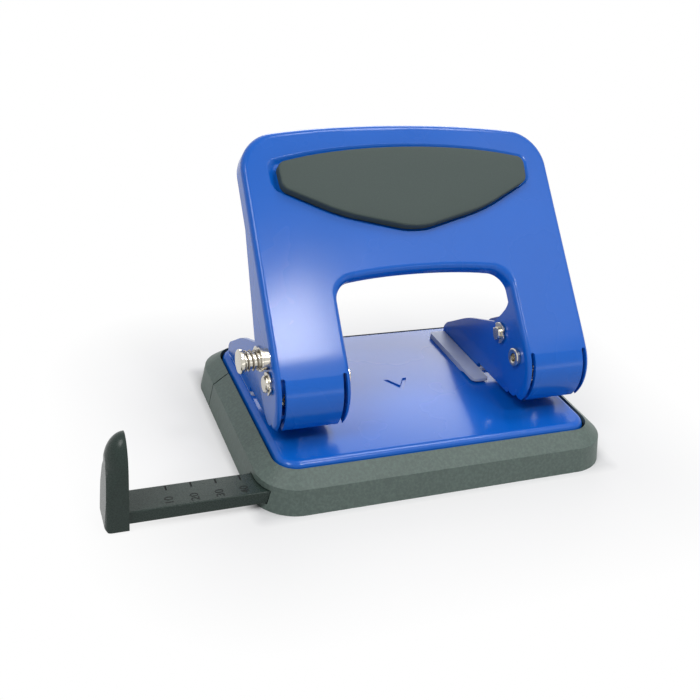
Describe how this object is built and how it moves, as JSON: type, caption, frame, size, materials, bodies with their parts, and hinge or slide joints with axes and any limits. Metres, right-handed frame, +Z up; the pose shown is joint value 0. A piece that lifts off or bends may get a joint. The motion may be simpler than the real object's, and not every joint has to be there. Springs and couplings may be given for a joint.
{
  "type": "two-hole punch",
  "caption": "Desk punch for two holes: a stamped lever on fixed brackets drives both punches through a base plate in a plastic tray with chip drawer and sliding paper guide.",
  "frame": {"origin": "centre of the tray's footprint on its underside", "axes": "+X to the right seen from the paper side, +Y to the rear, away from the paper, +Z up"},
  "size_m": [0.158, 0.085, 0.0908],
  "materials": {
    "blue_paint": "gloss",
    "dark_plastic": "fine texture",
    "grip_rubber": "matte",
    "zinc_steel": "satin",
    "tool_steel": "ground",
    "nickel_steel": "nickel"
  },
  "bodies": {
    "base": {"base_tray": "dark_plastic", "anti_slip_pads": "grip_rubber", "base_plate": "blue_paint", "weld_bosses": "zinc_steel", "base_screws": "zinc_steel", "foot_plate_left": "zinc_steel", "foot_plate_right": "zinc_steel", "bracket_left": "blue_paint", "bracket_right": "blue_paint", "bracket_rivets": "zinc_steel", "guide_bush_left": "nickel_steel", "guide_bush_right": "nickel_steel", "pivot_pin_left": "nickel_steel", "pivot_pin_right": "nickel_steel", "pivot_clips": "nickel_steel", "punch_spring_left": "nickel_steel", "punch_spring_right": "nickel_steel", "guide_leaf": "zinc_steel"},
    "lever": {"handle": "blue_paint", "grip_pad": "grip_rubber", "drive_pin_left": "nickel_steel", "drive_pin_right": "nickel_steel", "drive_clips": "nickel_steel", "lock_bush": "nickel_steel", "lock_spring": "nickel_steel"},
    "left_punch": {"punch_left": "tool_steel"},
    "right_punch": {"punch_right": "tool_steel"},
    "lock": {"lock_plunger": "nickel_steel"},
    "guide": {"guide_bar": "dark_plastic"},
    "drawer": {"chip_drawer": "dark_plastic"}
  },
  "joints": [
    {"name": "lever_hinge", "type": "hinge", "parent": "base", "child": "lever", "pos_m": [0, -0.0205, 0.031], "axis": [-1, 0, 0], "range_deg": [0, 35], "stiffness_Nm_per_rad": 0.6, "springref_deg": -22.92},
    {"name": "left_punch_slide", "type": "slide", "parent": "base", "child": "left_punch", "axis": [0, 0, -1], "range_m": [0, 0.0075], "deforming": ["punch_spring_left"]},
    {"name": "right_punch_slide", "type": "slide", "parent": "base", "child": "right_punch", "axis": [0, 0, -1], "range_m": [0, 0.0075], "deforming": ["punch_spring_right"]},
    {"name": "lock_slide", "type": "slide", "parent": "lever", "child": "lock", "axis": [1, 0, 0], "range_m": [0, 0.0024], "stiffness_N_per_m": 200, "springref_m": -0.003, "deforming": ["lock_spring"]},
    {"name": "guide_slide", "type": "slide", "parent": "base", "child": "guide", "axis": [1, 0, 0], "range_m": [-0.046, 0.03]},
    {"name": "drawer_slide", "type": "slide", "parent": "base", "child": "drawer", "axis": [0, 1, 0], "range_m": [0, 0.036]}
  ],
  "couplings": [
    {"joint": "left_punch_slide", "follows": "lever_hinge", "m_per_rad": 0.011187},
    {"joint": "right_punch_slide", "follows": "lever_hinge", "m_per_rad": 0.011187}
  ]
}
